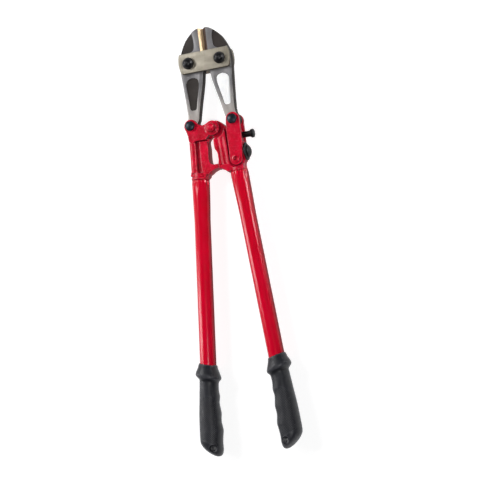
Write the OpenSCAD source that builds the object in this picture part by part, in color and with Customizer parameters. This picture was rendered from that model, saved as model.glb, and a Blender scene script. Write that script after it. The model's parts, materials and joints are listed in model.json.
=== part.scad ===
// Compound-leverage bolt cutter, closed, lying flat: jaws towards +Y,
// handles towards -Y, thickness along Z. Millimetres.

/* [Blades] */
// Thickness of each blade
blade_t = 12; // [10:0.5:14]
// Width of one cutting bevel, measured on the blade face
bevel_w = 5.4; // [3:0.1:7]
// Gap left between the two cutting edges when closed
edge_gap = 0.3; // [0.2:0.05:0.6]
// Depth of the forged recesses in the blade faces
recess_d = 1.2; // [0.6:0.1:2]
// Radius of the eye at the end of each blade tail
tail_eye_r = 8.6; // [8:0.1:9]

/* [Side plates] */
// Thickness of each side plate and link plate
plate_t = 5.5; // [4:0.5:7]
// Side clearance between flat faces that slide
side_gap = 0.3; // [0.2:0.05:0.5]

/* [Pivots] */
// Radius of the two blade bolts
blade_bolt_r = 6; // [5:0.5:7]
// Radius of the tail, link and centre bolts
link_bolt_r = 5; // [4:0.5:5.5]
// Radial running clearance of a moving part on its bolt
run_c = 0.05; // [0.02:0.01:0.1]
// Radius of the domed blade bolt heads
dome_r = 8; // [7:0.1:9]
// Radius of the oversize eye hole that lets the closed linkage move
eye_hole_r = 8; // [7.8:0.1:8.4]

/* [Handles] */
// Outer radius of the handle tubes
tube_r = 11.1; // [10:0.1:13]
// Wall thickness of the handle tubes
tube_wall = 1.8; // [1.2:0.1:3]
// Outer radius of a tube where it is squeezed onto the forging
flare_r = 12.6; // [11.5:0.1:13]
// Angle of each handle from the centre line, degrees
splay = 4.64; // [4.3:0.02:4.8]
// Thickness of one fork cheek
cheek_t = 6; // [5:0.5:7]
// Half thickness of the forged right head
head_h = 10.4; // [9:0.1:11]
// Gap between the two stop faces when closed
stop_gap = 0.3; // [0.2:0.05:0.6]

/* [Grips] */
// Half thickness of the grips at their widest
grip_half = 17; // [15:0.1:17]
// Radius of the hanging hole
hang_r = 3; // [2.5:0.1:3.5]

/* [Hidden] */
$fn = 64;

// whole tool is shifted so the origin is under the middle of its box
ox = 0; oy = 149.1; oz = 17;
A = [22.6, 93.8];      // blade pivots, mirrored in x
B = [30.1, 7.4];       // tail pivots, mirrored in x
E = [28.8, -47.2];     // lower link pivot, right side
EYE = [2.49, -0.66];    // centre of the oversize hole, right side
hb = blade_t / 2;
z1 = hb + side_gap;          // inner face of plates and cheeks
z2 = z1 + plate_t;           // outer face of plates
z3 = z1 + cheek_t;           // outer face of cheeks
H = [27.5, -60];             // start of the handle axis
C_RED = [0.79, 0.0, 0.16];
C_STEEL = [0.52, 0.52, 0.54];
C_PLATE = [0.72, 0.69, 0.6];
C_BLACK = [0.1, 0.1, 0.11];
C_BLUE = [0.17, 0.21, 0.25];
C_GRIP = [0.17, 0.17, 0.18];
C_WHITE = [0.95, 0.95, 0.95];

module place() { translate([ox, oy, oz]) children(); }
module at(p, z = 0) { translate([p[0], p[1], z]) children(); }
module lft() { mirror([1, 0, 0]) children(); }
// slab between two heights
module slab(a, b) { translate([0, 0, a]) linear_extrude(height = b - a) children(); }
module both() { children(); mirror([0, 0, 1]) children(); }
// local frame of the right handle: -Y runs down the handle
module on_handle() { translate([H[0], H[1], 0]) rotate([0, 0, splay]) children(); }
// the same, r0 at y0 widening or narrowing to r1 at y1
module rod2(r0, r1, y0, y1) { translate([0, y1, 0]) rotate([-90, 0, 0]) cylinder(r1 = r1, r2 = r0, h = y0 - y1); }
module rod(r, y0, y1) { translate([0, y1, 0]) rotate([-90, 0, 0]) cylinder(r = r, h = y0 - y1); }

// ---- blades ----
// points of an arc about c, from angle a to angle b
function arc(c, r, a, b, n) = [for (i = [0:n]) c + r * [cos(a + (b - a) * i / n), sin(a + (b - a) * i / n)]];
module blade_2d() {
  polygon(concat([[edge_gap / 2, 141.2], [3.4, 141.8], [6.4, 141.7], [9.8, 140.5], [13.4, 138.6], [17.4, 135.6],
    [21.2, 132], [25.6, 127], [30, 119.6], [33.6, 111.2], [35.7, 103.5], [36.9, 95.5], [37, 87], [36.4, 77.4],
    [35.6, 66], [34.9, 53], [34.1, 38.8], [33.6, 24], [34.2, 18.4]],
    arc(B, tail_eye_r, 45, -195, 24),
    [[18.9, 15], [16, 28.4], [13.3, 40.4], [9.8, 54], [6.7, 67.6],
    [5, 78.6], [2.9, 84.4], [1.5, 90], [edge_gap / 2, 97.2]]));
}
module head_recess_2d() {
  polygon([[15.6, 142], [15.4, 136.2], [13.9, 130.6], [13.5, 125], [13.6, 119.5], [14.1, 115.6],
    [15, 113.2], [16.8, 111.3], [20, 110], [26, 109.7], [33.8, 110.2], [40, 116], [30, 140]]);
}
module drop_2d(k = 0) {
  polygon([[18 + k / 2, 73.9 - k], [22, 74.3 - k], [26.4 - k / 2, 73.2 - k], [29.3 - k / 2, 70.9 - k], [31.1 - k, 67.2],
    [31.2 - k, 63], [30.6 - k, 55], [29.8 - k, 43], [29.3 - k, 33], [28.6 - k, 30.6 + k / 2], [26.6, 29.4 + k],
    [22.2, 29.3 + k], [20.4 + k / 2, 30.4 + k], [19.5 + k, 33], [18.3 + k, 39.6], [15.9 + k, 49.4], [13.7 + k, 59],
    [12.7 + k, 65], [13 + k, 69.4], [14.9 + k / 2, 72.4 - k]]);
}
module bevel_cut() {
  // removes both faces down to the cutting edge at mid thickness
  both() translate([0, 170, 0]) rotate([90, 0, 0]) linear_extrude(height = 63)
    polygon([[-1, 0.15], [edge_gap / 2, 0.15], [bevel_w, hb], [bevel_w + 0.01, hb + 1], [-1, hb + 1]]);
}
module blade() {
  difference() {
    slab(-hb, hb) blade_2d();
    bevel_cut();
    both() slab(hb - recess_d, hb + 1) head_recess_2d();
    both() slab(hb - recess_d, hb + 1) drop_2d();
    at(A, -hb - 1) cylinder(r = blade_bolt_r + run_c, h = blade_t + 2);
    at(B, -hb - 1) cylinder(r = link_bolt_r + run_c, h = blade_t + 2);
  }
}
module left_blade() color(C_STEEL) place() lft() blade();
module right_blade() color(C_STEEL) place() blade();
module right_blade_label() color(C_WHITE) place()
  slab(hb - recess_d, hb - recess_d + 0.8) drop_2d(0.35);

// ---- side plates ----
module side_2d() {
  difference() {
    polygon([[-34.7, 108.2], [34.7, 108.2], [35.8, 105.6], [36.6, 102], [37, 97.6], [36.9, 93], [36.2, 88],
      [35, 83.8], [33.6, 80.7], [-33.6, 80.7], [-35, 83.8], [-36.2, 88], [-36.9, 93], [-37, 97.6],
      [-36.6, 102], [-35.8, 105.6]]);
    translate(A) circle(r = blade_bolt_r + 0.02);
    translate([-A[0], A[1]]) circle(r = blade_bolt_r + 0.02);
  }
}
module front_side_plate() color(C_PLATE) place() slab(z1, z2) side_2d();
module rear_side_plate() color(C_PLATE) place() slab(-z2, -z1) side_2d();

// domed round head standing on height z
module dome(r, h, z) {
  R = (r * r + h * h) / (2 * h);
  translate([0, 0, z]) intersection() {
    translate([0, 0, h - R]) sphere(r = R);
    cylinder(r = r, h = h + 1);
  }
}
module blade_bolt() {
  at(A) {
    difference() {
      union() {
        translate([0, 0, z2]) cylinder(r = dome_r, h = 2.6);
        dome(dome_r, 6.2, z2 + 2.6);
      }
      // shallow centre dimple
      translate([0, 0, z2 + 8.4]) cylinder(r = 1.3, h = 3);
    }
    translate([0, 0, -grip_half]) cylinder(r = blade_bolt_r, h = grip_half + z2);
  }
}
module left_blade_bolt() color(C_BLACK) place() lft() blade_bolt();
module right_blade_bolt() color(C_BLACK) place() blade_bolt();
module hex_nut(af, z0, z1n, r) {
  difference() {
    translate([0, 0, z0]) cylinder(r = af / sqrt(3), h = z1n - z0, $fn = 6);
    translate([0, 0, z0 - 1]) cylinder(r = r + 0.02, h = z1n - z0 + 2);
  }
}
module left_blade_nut() color(C_BLACK) place() lft() at(A) hex_nut(18, -grip_half, -z2, blade_bolt_r);
module right_blade_nut() color(C_BLACK) place() at(A) hex_nut(18, -grip_half, -z2, blade_bolt_r);

// ---- left handle: fork, tube, grip ----
module fork_shoulder_2d() {
  circle(r = 10.4);
  translate([-B[0], B[1]]) circle(r = 9.3);
  polygon([[-38.9, 7.4], [-38.5, 3.4], [-36.6, -1.6], [-35.5, -7], [-35, -13.4], [-33.4, -14.6],
    [-29, -15.2], [-24.6, -14.2], [-10.4, -14.4], [-8.4, -11.6], [-5, -9.1], [0, 0], [-5.4, 8.9], [-9, 6.9],
    [-12.4, 6], [-15.6, 6.2], [-18.4, 7.8], [-20.8, 10.2], [-24, 14.9], [-29, 12]]);
}
module fork_body_2d() {
  polygon([[-36.4, -2.8], [-35.4, -8], [-34.9, -14], [-35.2, -25], [-36, -39], [-37.2, -53],
    [-38.3, -61], [-17.4, -64], [-16.8, -60], [-11.4, -62.2], [-6.4, -58.1], [-1.5, -56.4],
    [2.4 - stop_gap / 2, -56.1], [2.2 - stop_gap / 2, -49], [-5.6, -48.7], [-7.9, -47.7], [-9.3, -45.4],
    [-10, -40], [-9.3, -26], [-8.8, -18], [-7.6, -12], [-9, -9], [-22, -4]]);
}
// stub of a forging inside its tube, and the room its tube takes
module stub(top, c = 0.03) {
  r = flare_r - tube_wall - c;
  k = (flare_r - tube_r) / (top + 62);
  rod2(r + 0.02 * k, r - k * (top + 46), top + 0.02, -46);
}
module tube_room(top) { difference() { rod(flare_r + 1.4, top + 0.02, -50); stub(top); } }
module web_2d(y) {
  polygon([[24, -56], [24, y], [14.9, y], [13.4, -62.6], [11.2, -60.6], [8.6, -58]]);
}
module fork_solid() {
  // shoulder carrying the two cheeks
  both() slab(z1, z3) fork_shoulder_2d();
  // raised ring at the centre pivot
  both() slab(z3 - 0.01, z3 + 0.9) circle(r = 9.6);
  // body below the cheeks: its face is the floor of the long groove
  slab(-5.4, 5.4) fork_body_2d();
  // inner pad and stop lug, blank
  slab(-9.2, 9.2) polygon([[-21.4, -15], [-10.3, -16], [-9.6, -26], [-10.6, -40], [-9.9, -45.8],
    [-8.2, -48.4], [-5.6, -49.3], [2.2 - stop_gap / 2, -49.3], [2.4 - stop_gap / 2, -55.7], [-2, -55.9],
    [-7, -57.6], [-12, -61], [-17, -62], [-21.6, -58], [-22.4, -50], [-22, -30]]);
  // outer rounded rib
  both() translate([-32, -36, 6.9]) rotate([0, 0, -3]) rod(4.8, 22, -21);
  slab(-6.9, 6.9) polygon([[-36.4, -13], [-28, -13], [-29, -58], [-37.8, -58]]);
  // knuckle and rolled lip where the forging enters the tube
  slab(-9.4, 9.4) polygon([[-38, -55.6], [-30.5, -55], [-26, -58.4], [-17.4, -58.4], [-16, -64], [-39.4, -61]]);
  lft() slab(-6.5, 6.5) web_2d(-66);
  lft() on_handle() {
    rod(flare_r - 0.9, 2, -4);
    rod(flare_r + 0.2, -3.4, -6.5);
    stub(-6.5);
  }
}
module left_handle_fork() color(C_RED) place() difference() {
  fork_solid();
  // slot for the eye of the other handle and for the blade tail
  slab(-z1, z1) { circle(r = 14.9); translate([-B[0], B[1]]) circle(r = 9.4); }
  slab(-z1, z1) polygon([[-45, 8], [-38.95, 8], [-38.95, 6], [-20, -6], [0, -14], [0, 20], [-45, 20]]);
  at([0, 0], -30) cylinder(r = link_bolt_r + 0.02, h = 60);
  at([-B[0], B[1]], -30) cylinder(r = link_bolt_r + 0.02, h = 60);
  // room for the tube wall over the web
  lft() on_handle() tube_room(-6.5);
}
module tube(top) on_handle() difference() {
  union() { rod2(flare_r, tube_r, top, -62); rod(tube_r, -61.9, -360); }
  rod2(flare_r - tube_wall, tube_r - tube_wall, top + 0.01, -62);
  rod(flare_r - tube_wall, top + 5, top);
  rod(tube_r - tube_wall, -61.9, -400);
}
module left_tube() color(C_RED) place() lft() tube(-6.55);
module right_tube() color(C_RED) place() tube(-2.55);

// stations: [distance down the handle, slant, outer u, inner u, half thickness]
GS = [[257.5, -0.2, 12.1, -12.2, 12.2], [260.5, -0.2, 13.1, -12.47, 13.4],
  [264, -0.2, 13.96, -13.71, 14.9], [268, -0.2, 15.8, -15.2, 16.2], [271.4, -0.2, 17, -16.4, 17],
  [273.6, -0.2, 17.2, -16.7, 17], [275.4, -0.2, 16.4, -16, 16.4], [277.2, -0.2, 14.4, -14.4, 15.2],
  [279.4, -0.2, 12.3, -13.1, 14.1], [283, -0.2, 12.3, -12.6, 13.9], [290, -0.15, 12.5, -12.5, 14.4],
  [295, -0.1, 12.8, -13, 14.8], [299.5, -0.05, 13, -13.7, 15.1], [304, -0.02, 13.2, -13.3, 15.3],
  [308.5, 0, 13.4, -12.8, 15.4], [313, 0, 13.7, -13.3, 15.6], [318, 0, 14, -14.3, 15.9],
  [323.5, 0, 14.2, -15.1, 16.2], [329, 0, 14.3, -14.7, 16.3], [334.5, 0, 14.4, -14.7, 16.4],
  [340, 0, 14.4, -15.8, 16.7], [346, 0, 14.3, -16.9, 17], [351, 0, 14.3, -16.4, 17],
  [356, -0.03, 14.2, -15.9, 17], [361, -0.1, 13.9, -15.6, 16.8], [366, -0.25, 13.1, -16.1, 16.1],
  [369, -0.33, 11.7, -15.8, 15.2], [371.6, -0.4, 9.7, -14.9, 13.8], [373.7, -0.44, 7, -13.2, 11.6],
  [375.3, -0.45, 3.5, -11.2, 8.4], [376.4, -0.45, -0.9, -8.6, 4.6], [376.8, -0.45, -3.3, -6.2, 1.6]];
GN = 32;
function sg(v, p) = sign(v) * pow(abs(v), p);
function ring(s) = let (uc = (s[2] + s[3]) / 2, a = (s[2] - s[3]) / 2)
  [for (i = [0:GN - 1]) let (t = 360 * i / GN, u = uc + a * sg(cos(t), 0.9), w = s[4] * grip_half / 17 * sg(sin(t), 0.9))
    [u, -(s[0] + s[1] * u), w]];
module grip_skin() {
  m = len(GS);
  pts = [for (s = GS) each ring(s)];
  side = [for (j = [0:m - 2]) for (i = [0:GN - 1]) let (k = (i + 1) % GN)
    each [[j * GN + i, (j + 1) * GN + i, (j + 1) * GN + k], [j * GN + i, (j + 1) * GN + k, j * GN + k]]];
  top = [for (i = [0:GN - 1]) i];
  bot = [for (i = [0:GN - 1]) (m - 1) * GN + GN - 1 - i];
  polyhedron(points = pts, faces = concat([top], side, [bot]));
}
module grip() on_handle() difference() {
  grip_skin();
  rod(tube_r + 0.03, -200, -360.2);
  // hanging hole with a flat round seat each side
  translate([-7.2, -369.2, -30]) cylinder(r = hang_r, h = 60);
  both() translate([-7.2, -369.2, 11]) cylinder(r = hang_r + 2.2, h = 20);
}
module left_grip() color(C_GRIP) place() lft() grip();
module right_grip() color(C_GRIP) place() grip();

// hex head with a domed top
module hex_head(af, h, z) {
  R = af * 0.95;
  intersection() {
    translate([0, 0, z]) cylinder(r = af / sqrt(3), h = h, $fn = 6);
    translate([0, 0, z]) cylinder(r = af * 0.54, h = h);
    translate([0, 0, z + h - R]) sphere(r = R);
  }
}
module left_tail_bolt() color(C_BLUE) place() at([-B[0], B[1]]) {
  hex_head(12.6, 5.6, z3);
  translate([0, 0, -16.8]) cylinder(r = link_bolt_r, h = 16.8 + z3);
}
module left_tail_nut() color(C_BLUE) place() at([-B[0], B[1]]) hex_nut(15, -16.6, -z3, link_bolt_r);
module centre_pivot_bolt() color(C_RED) place() {
  slab(z3 + 0.9, z3 + 1.8) circle(r = 8);
  slab(z3 + 1.8, z3 + 5) circle(r = 6.4);
  dome(6.4, 5.4, z3 + 5);
  translate([0, 0, -16.8]) cylinder(r = link_bolt_r, h = 16.8 + z3 + 1);
}
module centre_pivot_nut() color(C_RED) place() hex_nut(15, -16.7, -z3 - 0.9, link_bolt_r);

// ---- link ----
module link_2d() {
  difference() {
    union() {
      translate(B) circle(r = 9.6);
      translate(E) circle(r = 8.8);
      polygon([[20.5, 7.4], [19.9, 1], [19.8, -10], [20.1, -22], [20.2, -36], [20, -47.2], [37.6, -47.2], [38.6, -42],
        [39.3, -34], [39.7, -22], [39.7, -4], [39.7, 7.4]]);
    }
    translate(B) circle(r = link_bolt_r + 0.02);
    translate(E) circle(r = link_bolt_r + 0.02);
  }
}
module front_link() color(C_RED) place() slab(z1, z2) link_2d();
module rear_link() color(C_RED) place() slab(-z2, -z1) link_2d();
module link_upper_bolt() color(C_BLUE) place() at(B) {
  hex_head(12.6, 6, z2);
  translate([0, 0, -16.6]) cylinder(r = link_bolt_r, h = 16.6 + z2);
}
module link_upper_nut() color(C_BLUE) place() at(B) hex_nut(15, -16.4, -z2, link_bolt_r);
module link_lower_bolt() color(C_RED) place() at(E) difference() {
  union() {
    translate([0, 0, z2]) cylinder(r = 5.6, h = 1.2);
    dome(5.6, 0.9, z2 + 1.2);
    translate([0, 0, -16.4]) cylinder(r = link_bolt_r, h = 16.4 + z2);
  }
  translate([0, 0, z2 - 1.4]) cylinder(r = 3.2, h = 6, $fn = 6);
}
module link_lower_nut() color(C_RED) place() at(E) hex_nut(15, -16.2, -z2, link_bolt_r);

// ---- right handle ----
module head_2d() {
  polygon([[-0.9, -6], [7, -3], [12.6, -2.4], [15.6, -3.4], [17, -6.6], [17.3, -16], [17.9, -30], [18.3, -44],
    [18.4, -49], [19.3, -52.8], [21.4, -56.2], [24, -58.2], [24.6, -61.2], [14.9, -62.6], [11.2, -60.4], [8.6, -58.2], [6, -57.2],
    [2.7 + stop_gap / 2, -56.1], [2.2 + stop_gap / 2, -49], [3.3, -45], [3.1, -36.4], [1.7, -32.2], [-0.2, -29.4],
    [-0.9, -23.5]]);
}
module right_core_2d() {
  polygon([[2.7 + stop_gap / 2, -56.1], [2.2 + stop_gap / 2, -49], [3.3, -45], [3.1, -36.4], [1.7, -32.2], [-0.2, -29.4],
    [-0.9, -23.5], [-0.9, -10], [-1.2, -4], [5, 0], [10.6, 7.6], [13.6, 4.9], [17.4, 0.4], [20.4, -3.6], [25, -5.4], [34, -5.4],
    [36.8, -6.4], [38.2, -9.6], [38.2, -22], [40.3, -25.4], [40.3, -50.4], [38.4, -52.6], [37.8, -56], [38.4, -62], [30, -62.4],
    [14.9, -63.6], [11.2, -60.6], [8.6, -58.2], [6, -57.2]]);
}
module right_handle_head() color(C_RED) place() difference() {
  union() {
    slab(-hb, hb) { translate(EYE) circle(r = 11.5); right_core_2d(); }
    slab(-head_h, head_h) difference() { head_2d(); translate(EYE * 0.5) circle(r = 14.6); }
    // low shoulder under the end of the link
    slab(-8.8, 8.8) difference() {
      polygon([[17.6, -50], [20, -46], [28, -55], [33, -55.4], [36.6, -51.6], [36.8, -56], [37.2, -61.6], [30, -62.6], [18, -62.8]]);
      translate(E) circle(r = 9.6);
    }
    slab(-6.5, 6.5) web_2d(-63);
    on_handle() { rod(flare_r - 1, 1.6, -2.5); stub(-2.5); }
  }
  // two long forged flutes on each face
  both() for (g = [5, 11.3])
    translate([g, -12, head_h + 3.1]) rotate([0, 0, 3.4]) rod(4, -2, -40);
  at(EYE, -30) cylinder(r = eye_hole_r, h = 60);
  at(E, -30) cylinder(r = link_bolt_r + run_c, h = 60);
  translate([23, -14.8, 0]) rotate([0, 90, 0]) cylinder(r = 4.15, h = 30);
  translate([31.4, -38, 0]) rotate([0, 90, 0]) cylinder(r = 3.05, h = 20);
  on_handle() tube_room(-2.5);
}
module adjusting_screw() color(C_BLACK) place() translate([24, -14.8, 0]) rotate([0, 90, 0]) {
  cylinder(r = 4.1, h = 26);
  translate([0, 0, 25]) cylinder(r1 = 4.1, r2 = 6, h = 2.4);
  translate([0, 0, 27.4]) cylinder(r = 6, h = 2.8);
  translate([0, 0, 30.2]) cylinder(r1 = 6, r2 = 4.8, h = 1);
}
module lock_flange() color(C_BLACK) place() translate([40.35, -38, 0]) rotate([0, 90, 0]) difference() {
  union() {
    cylinder(r = 12.3, h = 1.6);
    translate([0, 0, 1.6]) cylinder(r1 = 12.3, r2 = 11.1, h = 0.8);
  }
  translate([0, 0, -1]) cylinder(r = 3.06, h = 6);
}
module lock_screw() color(C_BLACK) place() translate([32, -38, 0]) rotate([0, 90, 0]) {
  cylinder(r = 3, h = 11.2);
  translate([0, 0, 10.8]) cylinder(r = 8.6, h = 1.6);
  dome(8.6, 3.8, 12.4);
}

front_side_plate();
rear_side_plate();
left_blade_bolt();
right_blade_bolt();
left_blade_nut();
right_blade_nut();
left_blade();
right_blade();
right_blade_label();
left_handle_fork();
left_tube();
left_grip();
left_tail_bolt();
left_tail_nut();
centre_pivot_bolt();
centre_pivot_nut();
front_link();
rear_link();
link_upper_bolt();
link_upper_nut();
link_lower_bolt();
link_lower_nut();
right_handle_head();
right_tube();
right_grip();
adjusting_screw();
lock_flange();
lock_screw();
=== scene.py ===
import json
import math

import bmesh
import bpy
import numpy as np
from mathutils import Matrix, Vector, noise


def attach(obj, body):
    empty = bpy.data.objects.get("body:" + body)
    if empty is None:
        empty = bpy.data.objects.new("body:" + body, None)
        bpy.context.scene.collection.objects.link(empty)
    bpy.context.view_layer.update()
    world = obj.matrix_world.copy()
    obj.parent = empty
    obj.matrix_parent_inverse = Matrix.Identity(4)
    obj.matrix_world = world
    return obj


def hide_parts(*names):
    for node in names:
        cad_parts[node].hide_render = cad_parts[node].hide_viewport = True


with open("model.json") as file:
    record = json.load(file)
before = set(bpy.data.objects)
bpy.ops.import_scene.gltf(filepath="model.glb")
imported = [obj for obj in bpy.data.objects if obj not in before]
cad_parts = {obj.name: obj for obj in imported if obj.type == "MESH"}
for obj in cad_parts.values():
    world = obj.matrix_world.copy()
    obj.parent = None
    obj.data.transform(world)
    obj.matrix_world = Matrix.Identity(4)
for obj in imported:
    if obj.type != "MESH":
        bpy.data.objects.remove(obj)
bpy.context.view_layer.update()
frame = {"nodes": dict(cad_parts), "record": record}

NODES = frame["nodes"]
MM = 0.001
OY, OZ = 149.0998, 17.0        # tool frame (mm, centre pivot at 0,0,0) to row frame
SPLAY = math.radians(4.64)
HX, HY = 27.5, -60.0           # start of the handle axis
BODY_OF = {n: b for b, ns in frame["record"]["behaviour"]["bodies"].items() for n in ns}


def lin(*rgb):
    out = []
    for c in rgb:
        c = c / 255.0
        out.append(c / 12.92 if c <= 0.04045 else ((c + 0.055) / 1.055) ** 2.4)
    return tuple(out) + (1.0,)


# ------------------------------------------------------------------ camera
def make_camera():
    cam = bpy.data.cameras.new("photo_cam")
    cam.sensor_width = 36.0
    cam.sensor_fit = "HORIZONTAL"
    cam.lens = 112.5335
    cam.clip_start = 0.05
    cam.clip_end = 20.0
    obj = bpy.data.objects.new("photo_cam", cam)
    bpy.context.scene.collection.objects.link(obj)
    x = Vector((0.944795, -0.118700, -0.305406))
    y = Vector((0.150562, 0.985119, 0.082897))
    z = Vector((0.291022, -0.124303, 0.948607))
    m = Matrix((x, y, z)).transposed().to_4x4()
    m.translation = Vector((0.60557, -0.258403, 1.93536))
    obj.matrix_world = m
    bpy.context.scene.camera = obj


# ------------------------------------------------------------------ stage
def make_stage():
    me = bpy.data.meshes.new("floor")
    s = 6.0
    me.from_pydata([(-s, -s, 0), (s, -s, 0), (s, s, 0), (-s, s, 0)], [], [(0, 1, 2, 3)])
    floor = bpy.data.objects.new("floor", me)
    bpy.context.scene.collection.objects.link(floor)
    mat = bpy.data.materials.new("floor_white")
    mat.use_nodes = True
    b = mat.node_tree.nodes["Principled BSDF"]
    b.inputs["Base Color"].default_value = (0.42, 0.42, 0.425, 1)
    b.inputs["Roughness"].default_value = 0.95
    b.inputs["Specular IOR Level"].default_value = 0.05
    b.inputs["Emission Color"].default_value = (1, 1, 1, 1)
    b.inputs["Emission Strength"].default_value = FLOOR_GLOW
    me.materials.append(mat)
    w = bpy.data.worlds.new("studio")
    bpy.context.scene.world = w
    w.use_nodes = True
    bg = w.node_tree.nodes["Background"]
    bg.inputs[0].default_value = (1, 1, 1, 1)
    bg.inputs[1].default_value = WORLD
    for name, loc, sx, sy, power, target in LIGHTS:
        l = bpy.data.lights.new(name, "AREA")
        l.energy = power
        l.shape = "RECTANGLE"
        l.size = sx
        l.size_y = sy
        if name == "card":
            l.spread = math.radians(26)
        o = bpy.data.objects.new(name, l)
        bpy.context.scene.collection.objects.link(o)
        o.location = loc
        d = Vector(target) - Vector(loc)
        o.rotation_euler = d.to_track_quat("-Z", "Y").to_euler()


FLOOR_GLOW = 0.8
WORLD = 0.1
LIGHTS = [
    ("key", (-1.2, 0.75, 1.25), 0.62, 0.62, 19.5, (0, -0.05, 0)),
    ("side", (-1.7, 0.1, 0.45), 0.22, 1.7, 13.0, (0, -0.05, 0)),
    ("top", (0.75, -0.5, 2.0), 0.6, 0.6, 14.0, (0, 0, 0)),
    ("card", (1.5, 0.68, 0.47), 0.6, 0.6, 0.75, (0, 0.27, 0.02)),
]
bpy.context.scene.view_settings.view_transform = "Standard"
make_camera()
make_stage()


# ------------------------------------------------------------------ materials
class Mat:
    """A small builder for one node material."""

    def __init__(self, name, base, rough, metal=0.0, coat=0.0, coat_rough=0.1, spec=0.5):
        self.m = bpy.data.materials.new(name)
        self.m.use_nodes = True
        self.t = self.m.node_tree
        self.b = self.t.nodes["Principled BSDF"]
        self.b.inputs["Base Color"].default_value = base
        self.b.inputs["Roughness"].default_value = rough
        self.b.inputs["Metallic"].default_value = metal
        self.b.inputs["Coat Weight"].default_value = coat
        self.b.inputs["Coat Roughness"].default_value = coat_rough
        self.b.inputs["Specular IOR Level"].default_value = spec
        self.co = self.t.nodes.new("ShaderNodeTexCoord")
        self.nrm = None

    def vec(self, scale=(1, 1, 1), rot=(0, 0, 0), loc=(0, 0, 0)):
        n = self.t.nodes.new("ShaderNodeMapping")
        n.inputs["Scale"].default_value = scale
        n.inputs["Rotation"].default_value = rot
        n.inputs["Location"].default_value = loc
        self.t.links.new(self.co.outputs["Object"], n.inputs["Vector"])
        return n.outputs[0]

    def noise(self, scale, detail=4.0, rough=0.55, vec=None, dist=0.0):
        n = self.t.nodes.new("ShaderNodeTexNoise")
        n.inputs["Scale"].default_value = scale
        n.inputs["Detail"].default_value = detail
        n.inputs["Roughness"].default_value = rough
        n.inputs["Distortion"].default_value = dist
        self.t.links.new(vec if vec is not None else self.co.outputs["Object"], n.inputs["Vector"])
        return n.outputs["Fac"]

    def voronoi(self, scale, vec=None):
        n = self.t.nodes.new("ShaderNodeTexVoronoi")
        n.inputs["Scale"].default_value = scale
        self.t.links.new(vec if vec is not None else self.co.outputs["Object"], n.inputs["Vector"])
        return n.outputs["Distance"]

    def span(self, fac, a, b, lo=0.0, hi=1.0):
        n = self.t.nodes.new("ShaderNodeMapRange")
        n.clamp = True
        n.inputs["From Min"].default_value = a
        n.inputs["From Max"].default_value = b
        n.inputs["To Min"].default_value = lo
        n.inputs["To Max"].default_value = hi
        self.t.links.new(fac, n.inputs["Value"])
        return n.outputs[0]

    def axis(self, which, a, b, lo=0.0, hi=1.0):
        n = self.t.nodes.new("ShaderNodeSeparateXYZ")
        self.t.links.new(self.co.outputs["Object"], n.inputs[0])
        return self.span(n.outputs[which], a, b, lo, hi)

    def attr(self, name):
        n = self.t.nodes.new("ShaderNodeAttribute")
        n.attribute_name = name
        return n.outputs["Fac"]

    def math(self, op, a, b):
        n = self.t.nodes.new("ShaderNodeMath")
        n.operation = op
        for i, v in enumerate((a, b)):
            if isinstance(v, (int, float)):
                n.inputs[i].default_value = v
            else:
                self.t.links.new(v, n.inputs[i])
        return n.outputs[0]

    def mix(self, fac, a, b, blend="MIX"):
        n = self.t.nodes.new("ShaderNodeMix")
        n.data_type = "RGBA"
        n.blend_type = blend
        n.clamp_factor = True
        for sock, v in ((n.inputs[0], fac), (n.inputs[6], a), (n.inputs[7], b)):
            if isinstance(v, (tuple, int, float)):
                sock.default_value = v
            else:
                self.t.links.new(v, sock)
        return n.outputs[2]

    def color(self, c):
        self.t.links.new(c, self.b.inputs["Base Color"])

    def rough(self, r):
        self.t.links.new(r, self.b.inputs["Roughness"])

    def bump(self, height, strength, distance):
        n = self.t.nodes.new("ShaderNodeBump")
        n.inputs["Strength"].default_value = strength
        n.inputs["Distance"].default_value = distance
        self.t.links.new(height, n.inputs["Height"])
        if self.nrm is not None:
            self.t.links.new(self.nrm, n.inputs["Normal"])
        self.nrm = n.outputs[0]
        self.t.links.new(self.nrm, self.b.inputs["Normal"])


def paint_forged():
    k = Mat("red_paint_forged", lin(200, 0, 44), 0.24, coat=0.12, coat_rough=0.1, spec=0.32)
    cloud = k.noise(70, 3, 0.5)
    c = k.mix(k.span(cloud, 0.3, 0.7), lin(182, 0, 32), lin(220, 0, 50))
    # painted highlight: random patches of light pink laid over the red
    painted_highlight_patches = k.span(k.noise(46, 4, 0.6, dist=0.4), 0.5, 0.75)
    c = k.mix(k.math("MULTIPLY", painted_highlight_patches, 0.15), c, lin(238, 72, 106))
    # painted shade: the hollows turn dark red
    dark = k.span(k.attr("cav"), 0.06, 0.75)
    c = k.mix(dark, c, lin(96, 0, 20))
    # painted shade: the flanks are darkened towards deep red
    c = k.mix(k.math("MULTIPLY", k.attr("low"), 0.75), c, lin(104, 0, 20))
    # painted highlight: the ridges turn light pink
    edge = k.span(k.attr("cav"), -0.2, -0.9)
    c = k.mix(k.math("MULTIPLY", edge, 0.5), c, lin(234, 66, 98))
    speck = k.span(k.noise(420, 2, 0.6), 0.72, 0.78)
    c = k.mix(k.math("MULTIPLY", speck, 0.5), c, lin(120, 0, 22))
    k.color(c)
    k.rough(k.math("ADD", k.span(k.noise(260, 4, 0.6), 0.3, 0.75, 0.2, 0.32), k.math("MULTIPLY", k.attr("low"), 0.4)))
    k.bump(k.noise(105, 3, 0.5), 0.45, 0.0012)
    k.bump(k.noise(420, 3, 0.5), 0.12, 0.0004)
    return k.m


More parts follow.
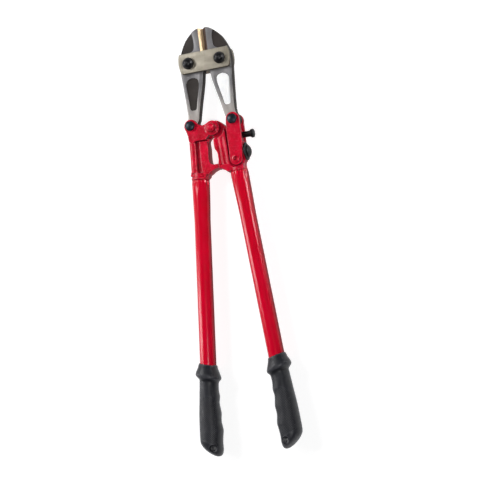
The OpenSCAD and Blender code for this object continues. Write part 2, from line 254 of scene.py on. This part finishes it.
def paint_tube():
    k = Mat("red_paint_tube", lin(208, 0, 40), 0.16, spec=0.26)
    c = k.mix(k.span(k.noise(38, 3, 0.5, k.vec((1, 0.35, 1))), 0.3, 0.7), lin(204, 0, 34), lin(218, 0, 44))
    # painted shade: the hollows of the flutes turn dark red
    dark = k.span(k.attr("cav"), 0.08, 0.7)
    c = k.mix(dark, c, lin(110, 0, 22))
    # painted shade: the tube's flanks are darkened
    c = k.mix(k.math("MULTIPLY", k.attr("low"), 0.95), c, lin(92, 0, 17))
    scuff = k.span(k.noise(240, 5, 0.65, k.vec((1, 0.25, 1))), 0.7, 0.78)
    c = k.mix(k.math("MULTIPLY", scuff, 0.35), c, lin(140, 2, 28))
    k.color(c)
    k.rough(k.math("ADD", k.span(k.noise(160, 4, 0.6), 0.3, 0.75, 0.13, 0.2), k.math("MULTIPLY", k.attr("low"), 0.55)))
    k.bump(k.noise(300, 2, 0.5), 0.1, 0.0005)
    return k.m


def rubber():
    k = Mat("black_rubber", lin(28, 29, 33), 0.46, spec=0.4)
    c = k.mix(k.span(k.noise(60, 4, 0.55), 0.3, 0.72), lin(18, 20, 26), lin(28, 30, 38))
    dust = k.span(k.noise(340, 4, 0.7), 0.6, 0.8)
    c = k.mix(k.math("MULTIPLY", dust, 0.25), c, lin(62, 60, 62))
    # painted highlight: the ridges and dots turn lighter grey-blue
    c = k.mix(k.math("MULTIPLY", k.span(k.attr("cav"), -0.1, -0.8), 0.5), c, lin(74, 74, 80))
    # painted shade: the hollows turn darker
    c = k.mix(k.math("MULTIPLY", k.span(k.attr("cav"), 0.05, 0.5), 0.6), c, lin(18, 18, 22))
    # painted shade: the grip's flanks are darkened
    c = k.mix(k.math("MULTIPLY", k.attr("low"), 0.85), c, lin(9, 10, 14))
    k.color(c)
    k.rough(k.span(k.noise(200, 4, 0.6), 0.3, 0.7, 0.36, 0.56))
    k.b.inputs["Sheen Weight"].default_value = 0.05
    k.b.inputs["Sheen Roughness"].default_value = 0.4
    k.b.inputs["Sheen Tint"].default_value = (0.55, 0.68, 1.0, 1)
    k.bump(k.noise(900, 3, 0.6), 0.25, 0.0003)
    return k.m


def steel(name, a, b, rough=(0.35, 0.55), metal=0.35, grain=(1, 12, 1), grain_amt=0.25, spec=0.5,
          rot=0.0, blotch=None, tail=None, ends=None):
    k = Mat(name, a, rough[0], metal=metal, spec=spec)
    c = k.mix(k.span(k.noise(55, 4, 0.6), 0.32, 0.68), a, b)
    if tail is not None:
        t = k.axis(1, tail[1], tail[2])
        c = k.mix(t, tail[0], c)
    if ends is not None:
        t = k.span(k.math("ABSOLUTE", k.axis(0, -0.05, 0.05, -0.05, 0.05), 0.0), 0.012, 0.037)
        c = k.mix(k.math("MULTIPLY", t, 0.8), c, ends)
    if blotch is not None:
        bl = k.span(k.noise(95, 5, 0.7, dist=0.6), 0.56, 0.72)
        c = k.mix(k.math("MULTIPLY", bl, blotch[1]), c, blotch[0])
    line = k.noise(420, 3, 0.7, k.vec(grain, (0, 0, rot)))
    c = k.mix(k.math("MULTIPLY", k.span(line, 0.35, 0.7), grain_amt), c, b)
    pit = k.span(k.noise(700, 3, 0.7), 0.7, 0.8)
    c = k.mix(k.math("MULTIPLY", pit, 0.35), c, lin(40, 38, 38))
    k.color(c)
    k.rough(k.span(line, 0.3, 0.75, rough[0], rough[1]))
    k.bump(line, 0.2, 0.0002)
    k.bump(k.noise(160, 4, 0.6), 0.2, 0.0004)
    return k.m


def black(name, base, hi, rough, metal=0.5):
    k = Mat(name, base, rough, metal=metal, spec=0.36)
    c = k.mix(k.span(k.noise(120, 4, 0.6), 0.35, 0.7), base, hi)
    c = k.mix(k.math("MULTIPLY", k.span(k.noise(520, 4, 0.7), 0.66, 0.8), 0.4), c, lin(92, 88, 84))
    # painted shade: the flanks are darkened towards black
    c = k.mix(k.math("MULTIPLY", k.attr("low"), 0.7), c, lin(9, 9, 10))
    k.color(c)
    k.rough(k.math("ADD", k.span(k.noise(300, 4, 0.6), 0.3, 0.7, rough - 0.07, rough + 0.1),
                   k.math("MULTIPLY", k.attr("low"), 0.25)))
    k.bump(k.noise(480, 3, 0.6), 0.18, 0.0003)
    return k.m


def label():
    k = Mat("white_label", lin(250, 250, 250), 0.55, spec=0.3)
    c = k.mix(k.span(k.noise(110, 4, 0.6), 0.45, 0.75), lin(255, 255, 255), lin(244, 246, 249))
    k.color(c)
    k.bump(k.noise(260, 3, 0.6), 0.15, 0.0003)
    return k.m


M = {
    "forged": paint_forged(),
    "tube": paint_tube(),
    "rubber": rubber(),
    "label": label(),
    "flat": steel("blade_flat", lin(106, 105, 108), lin(132, 130, 131), (0.38, 0.55), 0.25, (1, 0.12, 1), 0.3,
                  tail=(lin(196, 188, 181), 0.150, 0.205)),
    "dark": steel("blade_recess", lin(44, 39, 37), lin(58, 52, 49), (0.6, 0.75), 0.1, (1, 1, 1), 0.1, spec=0.3),
    # the side walls are darker than the forged recess: the steel's own dark finish with painted shade on top
    "wall": steel("blade_wall", lin(27, 24, 22), lin(42, 38, 35), (0.55, 0.7), 0.0, (1, 1, 0.2), 0.2, spec=0.12),
    # the left jaw's bevel is ground steel painted near-white gold, which is a painted warm reflection
    "bevel_l": steel("bevel_painted_reflection", lin(255, 218, 168), lin(255, 230, 190), (0.34, 0.44), 0.3, (0.1, 1, 1), 0.2),
    # the right jaw's bevel is the same ground steel painted dark brown, which is painted shade
    "bevel_r": steel("bevel_painted_shade", lin(62, 48, 43), lin(84, 66, 58), (0.5, 0.62), 0.05, (0.1, 1, 1), 0.2, spec=0.15),
    "plate": steel("plate_steel", lin(158, 151, 135), lin(184, 176, 160), (0.34, 0.52), 0.25, (1, 0.06, 1), 0.5,
                   blotch=(lin(118, 112, 100), 0.75), ends=lin(118, 112, 98)),
    # the plates' side faces are darkened: the cut edges' own darker tone with painted shade on top
    "plate_edge": steel("plate_edge", lin(66, 60, 50), lin(84, 77, 65), (0.5, 0.65), 0.1, (1, 1, 0.2), 0.2, spec=0.2),
    "oxide": black("black_oxide", lin(15, 15, 17), lin(25, 25, 28), 0.3, 0.2),
    "blued": black("blued_steel", lin(26, 33, 42), lin(38, 46, 56), 0.34, 0.4),
}


# ------------------------------------------------------------------ mesh helpers
def new_object(name, verts, faces):
    me = bpy.data.meshes.new(name)
    me.from_pydata([tuple(v) for v in verts], [], [tuple(f) for f in faces])
    me.update()
    o = bpy.data.objects.new(name, me)
    bpy.context.scene.collection.objects.link(o)
    return o


def cad_copy(node, name=None, dissolve=0.4):
    """The node's shape as a clean welded mesh of its own."""
    src = NODES[node]
    bm = bmesh.new()
    bm.from_mesh(src.data)
    bm.transform(src.matrix_world)
    bmesh.ops.remove_doubles(bm, verts=bm.verts, dist=4e-6)
    if dissolve:
        bmesh.ops.dissolve_limit(bm, angle_limit=math.radians(dissolve), verts=bm.verts, edges=bm.edges)
    bm.verts.index_update()
    v = [tuple(x.co) for x in bm.verts]
    f = [tuple(x.index for x in p.verts) for p in bm.faces]
    bm.free()
    return new_object(name or "vis_" + node, v, f)


def apply_mods(o):
    dg = bpy.context.evaluated_depsgraph_get()
    dg.update()
    me = bpy.data.meshes.new_from_object(o.evaluated_get(dg))
    old = o.data
    o.modifiers.clear()
    o.data = me
    me.name = o.name
    bpy.data.meshes.remove(old)


def bevel(o, width, segments=2, angle=32.0):
    m = o.modifiers.new("bevel", "BEVEL")
    m.limit_method = "ANGLE"
    m.angle_limit = math.radians(angle)
    m.width = width * MM
    m.segments = segments
    m.use_clamp_overlap = True
    apply_mods(o)


def remesh(o, voxel, smooth=6, factor=0.5):
    m = o.modifiers.new("remesh", "REMESH")
    m.mode = "VOXEL"
    m.voxel_size = voxel * MM
    m.use_smooth_shade = True
    s = o.modifiers.new("smooth", "SMOOTH")
    s.factor = factor
    s.iterations = smooth
    apply_mods(o)


def smooth_shade(o, angle=None):
    o.data.shade_smooth()
    if angle:
        o.data.set_sharp_from_angle(angle=math.radians(angle))


def mesh_arrays(me):
    n = len(me.vertices)
    co = np.empty(n * 3)
    me.vertices.foreach_get("co", co)
    no = np.empty(n * 3)
    me.vertex_normals.foreach_get("vector", no)
    ed = np.empty(len(me.edges) * 2, dtype=np.int64)
    me.edges.foreach_get("vertices", ed)
    return co.reshape(-1, 3), no.reshape(-1, 3), ed.reshape(-1, 2)


def cavity(o, blur=3, gain=1.0):
    """Vertex attribute cav: above 0 in hollows, below 0 on ridges."""
    me = o.data
    co, no, ed = mesh_arrays(me)
    n = len(co)
    deg = np.bincount(ed.ravel(), minlength=n).astype(float)
    deg[deg == 0] = 1

    def mean(x):
        out = np.zeros_like(x)
        np.add.at(out, ed[:, 0], x[ed[:, 1]])
        np.add.at(out, ed[:, 1], x[ed[:, 0]])
        return out / (deg[:, None] if x.ndim == 2 else deg)

    sm = co
    for _ in range(6):
        sm = mean(sm) * 0.5 + sm * 0.5
    h = np.einsum("ij,ij->i", sm - co, no)
    for _ in range(blur):
        h = 0.5 * h + 0.5 * mean(h)
    h = h / MM * gain
    a = me.attributes.new("cav", "FLOAT", "POINT")
    a.data.foreach_set("value", h.astype(np.float32))
    # 0 on the broad faces, front and rear, 1 on the flanks, which are handled less and stay dull; the materials also
    # darken the flanks' colour with it, which is painted shade
    b = me.attributes.new("low", "FLOAT", "POINT")
    b.data.foreach_set("value", np.clip((0.7 - np.abs(no[:, 2])) / 0.6, 0, 1).astype(np.float32))


def finish_piece(o, node, mats, body=None):
    o.data.materials.clear()
    for m in mats:
        o.data.materials.append(M[m])
    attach(o, body or BODY_OF[node])
    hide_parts(node)


# ------------------------------------------------------------------ forged red parts
def lumps(o, amp, scale):
    """Cast unevenness, cut into the surface only, so that clearances stay."""
    me = o.data
    co, no, ed = mesh_arrays(me)
    h = np.array([noise.noise(Vector(p * scale)) * 0.65 + noise.noise(Vector(p * scale * 2.3)) * 0.35 for p in co])
    d = -amp * MM * np.clip(0.5 + 0.9 * h, 0, 1)
    me.vertices.foreach_set("co", (co + no * d[:, None]).ravel())
    me.update()


def forged(node, voxel=0.42, smooth=7):
    o = cad_copy(node, dissolve=0)
    remesh(o, voxel, smooth)
    lumps(o, 0.2, 150.0)
    cavity(o, 4, 6.0)
    smooth_shade(o)
    finish_piece(o, node, ["forged"])
    return o


for n in ("left_handle_fork", "right_handle_head"):
    forged(n, 0.46, 10)
for n in ("front_link", "rear_link"):
    forged(n, 0.42, 6)
forged("centre_pivot_bolt", 0.3, 6)


def small(node, mats, width=0.4, segments=2, angle=32.0, shade=40):
    o = cad_copy(node)
    bevel(o, width, segments, angle)
    smooth_shade(o, shade)
    cavity(o, 0, 0.0)
    finish_piece(o, node, mats)
    return o


small("link_lower_bolt", ["forged"], 0.35)
for n in ("centre_pivot_nut", "link_lower_nut"):
    small(n, ["forged"], 0.5)
for n in ("left_tail_bolt", "link_upper_bolt"):
    small(n, ["blued"], 0.9, 4)
for n in ("left_tail_nut", "link_upper_nut"):
    small(n, ["blued"], 0.5)
for n in ("left_blade_bolt", "right_blade_bolt"):
    small(n, ["oxide"], 0.3, 2, 62, 75)
for n in ("left_blade_nut", "right_blade_nut", "adjusting_screw",
          "lock_flange", "lock_screw"):
    small(n, ["oxide"], 0.4)
for n in ("front_side_plate", "rear_side_plate"):
    o = small(n, ["plate", "plate_edge"], 0.45, 3)
    # side faces get the darkened edge material, which is partly painted shade
    for f in o.data.polygons:
        f.material_index = 1 if abs(f.normal.z) < 0.4 else 0
small("right_blade_label", ["label"], 0.15, 2)


# ------------------------------------------------------------------ blades
def blade(node, left):
    o = cad_copy(node)
    # honed edges all but touch
    for v in o.data.vertices:
        if abs(v.co.x) < 0.2 * MM and v.co.y / MM - OY > 96:
            v.co.x = -0.03 * MM if left else 0.03 * MM
    bevel(o, 0.4, 2, 30)
    me = o.data
    me.materials.clear()
    # bevel_l carries a painted reflection, bevel_r painted shade
    names = ["flat", "dark", "wall", "bevel_l" if left else "bevel_r"]
    for p in me.polygons:
        c, n = p.center, p.normal
        z = abs(c.z / MM - OZ)
        y = c.y / MM - OY
        x = abs(c.x / MM)
        nz = abs(n.z)
        if nz > 0.97:
            k = 1 if 4.4 < z < 5.4 else 0
        elif nz > 0.55 and x < 6.2 and y > 106:
            k = 3
        elif 4.7 < z < 5.9 and nz < 0.5:
            k = 1 if p.area < 4e-4 and z > 4.9 else 2
        elif nz > 0.5:
            k = 0
        else:
            k = 2
        p.material_index = k
    smooth_shade(o, 35)
    me2 = o.data
    idx = [p.material_index for p in me2.polygons]
    finish_piece(o, node, names)
    for p, k in zip(me2.polygons, idx):
        p.material_index = k
    return o


blade("left_blade", True)
blade("right_blade", False)


# ------------------------------------------------------------------ tubes and grips
def to_row(u, v, z, left):
    """Handle frame (mm, -v down the handle) to the row frame (m)."""
    c, s = math.cos(SPLAY), math.sin(SPLAY)
    x = HX + c * u - s * v
    y = HY + s * u + c * v
    if left:
        x = -x
    return np.stack([x * MM, (y + OY) * MM, (z + OZ) * MM], axis=-1)


def loft(name, rings, closed=True):
    """Quads between rings of equal length; closed joins the last ring to the first."""
    r = np.array(rings)
    m, n = r.shape[:2]
    v = r.reshape(-1, 3)
    faces = []
    for j in range(m if closed else m - 1):
        a, b = j * n, ((j + 1) % m) * n
        for i in range(n):
            k = (i + 1) % n
            faces.append((a + i, b + i, b + k, a + k))
    o = new_object(name, v, faces)
    bm = bmesh.new()
    bm.from_mesh(o.data)
    bmesh.ops.recalc_face_normals(bm, faces=bm.faces)
    bm.to_mesh(o.data)
    bm.free()
    return o


def tube(node, left, top):
    n = 160
    th = np.arange(n) * 2 * math.pi / n
    R, W = 11.1, 1.8
    rings = []

    def flare(v):
        """Extra radius near the squeezed end."""
        d = top - v
        t = min(max(d / (top + 62.0), 0.0), 1.0)
        k = 1.5 * (1 - t)
        return k * (1.0 - 0.35 * math.exp(-(d / 3.0) ** 2))

    def ring(r, v):
        r = np.broadcast_to(r, (n,))
        rings.append(to_row(r * np.cos(th), np.full(n, v), r * np.sin(th), left))

    for v in np.linspace(-359.5, top - 0.6, 50):
        ring(R - W + flare(v) - 0.02, v)
    r0, r1 = R - W + flare(top), R + flare(top) - 0.05
    for a in np.linspace(0, 1, 7):
        m = (r0 + r1) / 2
        ring(m - (r1 - r0) / 2 * math.cos(a * math.pi), top - 0.55 + 0.5 * math.sin(a * math.pi))
    for v in np.concatenate([np.linspace(top - 0.9, -40, 90), np.linspace(-42, -359.5, 120)]):
        d = top - v
        # pressed flutes where the tube is squeezed onto the forging
        k = math.exp(-((d - 4.0) / 8.5) ** 2)
        fl = 0.9 * k * (0.5 + 0.5 * np.cos(9 * th + 0.7)) ** 2.5
        oval = 0.75 * math.exp(-(d / 26.0) ** 2) * np.abs(np.sin(th)) ** 2
        wob = 0.04 * math.sin(v * 0.11) * np.cos(th * 2 + v * 0.02)
        ring(R + flare(v) - fl - oval - 0.06 + wob, v)
    o = loft("vis_" + node, rings)
    smooth_shade(o, 60)
    cavity(o, 2, 3.0)
    finish_piece(o, node, ["tube"])
    return o


tube("left_tube", True, -6.55)
tube("right_tube", False, -2.55)

GS = [[257.5, -0.2, 12.1, -12.2, 12.2], [260.5, -0.2, 13.1, -12.47, 13.4],
  [264, -0.2, 13.96, -13.71, 14.9], [268, -0.2, 15.8, -15.2, 16.2], [271.4, -0.2, 17, -16.4, 17],
  [273.6, -0.2, 17.2, -16.7, 17], [275.4, -0.2, 16.4, -16, 16.4], [277.2, -0.2, 14.4, -14.4, 15.2],
  [279.4, -0.2, 12.3, -13.1, 14.1], [283, -0.2, 12.3, -12.6, 13.9], [290, -0.15, 12.5, -12.5, 14.4],
  [295, -0.1, 12.8, -13, 14.8], [299.5, -0.05, 13, -13.7, 15.1], [304, -0.02, 13.2, -13.3, 15.3],
  [308.5, 0, 13.4, -12.8, 15.4], [313, 0, 13.7, -13.3, 15.6], [318, 0, 14, -14.3, 15.9],
  [323.5, 0, 14.2, -15.1, 16.2], [329, 0, 14.3, -14.7, 16.3], [334.5, 0, 14.4, -14.7, 16.4],
  [340, 0, 14.4, -15.8, 16.7], [346, 0, 14.3, -16.9, 17], [351, 0, 14.3, -16.4, 17],
  [356, -0.03, 14.2, -15.9, 17], [361, -0.1, 13.9, -15.6, 16.8], [366, -0.25, 13.1, -16.1, 16.1],
  [369, -0.33, 11.7, -15.8, 15.2], [371.6, -0.4, 9.7, -14.9, 13.8], [373.7, -0.44, 7, -13.2, 11.6],
  [375.3, -0.45, 3.5, -11.2, 8.4], [376.4, -0.45, -0.9, -8.6, 4.6], [376.8, -0.45, -3.3, -6.2, 1.6]]


def smooth_rows(rows, step):
    """Catmull-Rom through the stations, by distance."""
    a = np.array(rows)
    out = []
    for i in range(len(a) - 1):
        p0, p1, p2, p3 = a[max(i - 1, 0)], a[i], a[i + 1], a[min(i + 2, len(a) - 1)]
        k = max(1, int(round((p2[0] - p1[0]) / step)))
        h = p2[0] - p1[0]
        m1 = (p2 - p0) / max(p2[0] - p0[0], 1e-6) * h
        m2 = (p3 - p1) / max(p3[0] - p1[0], 1e-6) * h
        for j in range(k):
            t = j / k
            out.append((2 * t**3 - 3 * t**2 + 1) * p1 + (t**3 - 2 * t**2 + t) * m1
                       + (-2 * t**3 + 3 * t**2) * p2 + (t**3 - t**2) * m2)
    out.append(a[-1])
    return out


def sg(v, p):
    return np.sign(v) * np.abs(v) ** p


def smoothstep(a, b, x):
    t = np.clip((x - a) / (b - a), 0, 1)
    return t * t * (3 - 2 * t)


def grip(node, left):
    n = 208
    th = np.arange(n) * 2 * math.pi / n
    rings = []
    # bore for the tube, from its end up to the mouth
    for v in (-360.0, -340.0, -320.0, -300.0, -280.0, -265.0, -258.6):
        rings.append(to_row(11.16 * np.cos(th), np.full(n, v), 11.16 * np.sin(th), left))
    for row in smooth_rows(GS, 0.55):
        d, sl, uo, ui, h = row
        uc, a = (uo + ui) / 2, (uo - ui) / 2
        c, s = np.cos(th), np.sin(th)
        u = uc + a * sg(c, 0.9)
        w = h * sg(s, 0.9)
        # raised dots on the panels of both faces
        x = u + 1.0
        face = np.abs(w) / max(h, 1e-3)
        edge_u = np.minimum(smoothstep(-11.4, -10.0, x), 1 - smoothstep(10.2, 11.6, x))
        edge_d = smoothstep(299.0, 301.5, d - 0.075 * x * x) * (1 - smoothstep(358.5, 361, d + 0.32 * (x - 2)))
        mask = edge_u * edge_d * smoothstep(0.5, 0.62, face)
        pit = 2.55
        q1 = (x + d) / pit
        q2 = (x - d) / pit
        dots = np.clip(np.cos(math.pi * q1) ** 2 * np.cos(math.pi * q2) ** 2 * 1.7 - 0.25, 0, 1)
        lift = -0.34 + 0.36 * dots
        # the panel lies a little lower, its dots come back up to the surface
        w = np.maximum(w + np.sign(w) * mask * lift, -17.0)
        pts_v = -(d + sl * u)
        rings.append(to_row(u, pts_v, w, left))
    r = np.array(rings)
    m = len(r)
    o_r = r.reshape(-1, 3)
    faces = []
    for j in range(m - 1):
        a0, b0 = j * n, (j + 1) * n
        for i in range(n):
            k = (i + 1) % n
            faces.append((a0 + i, b0 + i, b0 + k, a0 + k))
    faces.append(tuple(range(n)))
    faces.append(tuple((m - 1) * n + n - 1 - i for i in range(n)))
    o = new_object("vis_" + node, o_r, faces)
    bm = bmesh.new()
    bm.from_mesh(o.data)
    bmesh.ops.recalc_face_normals(bm, faces=bm.faces)
    bm.to_mesh(o.data)
    bm.free()
    # hanging hole with its round seats
    cut = []
    k = 64
    t = np.arange(k) * 2 * math.pi / k
    seat = [(5.2, 20.0), (5.2, 11.6), (4.8, 11.1), (4.2, 10.95), (3.6, 10.9), (3.0, 10.5), (3.0, -10.5), (3.6, -10.9),
            (4.2, -10.95), (4.8, -11.1), (5.2, -11.6), (5.2, -20.0)]
    for rr, zz in seat:
        cut.append(to_row(-7.2 + rr * np.cos(t), -369.2 + rr * np.sin(t), np.full(k, zz), left))
    cr = np.array(cut)
    cf = []
    for j in range(len(cr) - 1):
        for i in range(k):
            q = (i + 1) % k
            cf.append((j * k + i, j * k + q, (j + 1) * k + q, (j + 1) * k + i))
    cf.append(tuple(k - 1 - i for i in range(k)))
    cf.append(tuple((len(cr) - 1) * k + i for i in range(k)))
    cutter = new_object("cutter_tmp", cr.reshape(-1, 3), cf)
    bm = bmesh.new()
    bm.from_mesh(cutter.data)
    bmesh.ops.recalc_face_normals(bm, faces=bm.faces)
    bm.to_mesh(cutter.data)
    bm.free()
    b = o.modifiers.new("hole", "BOOLEAN")
    b.operation = "DIFFERENCE"
    b.solver = "EXACT"
    b.object = cutter
    apply_mods(o)
    bpy.data.objects.remove(cutter, do_unlink=True)
    cavity(o, 1, 14.0)
    smooth_shade(o, 50)
    finish_piece(o, node, ["rubber"])
    return o


grip("left_grip", True)
grip("right_grip", False)
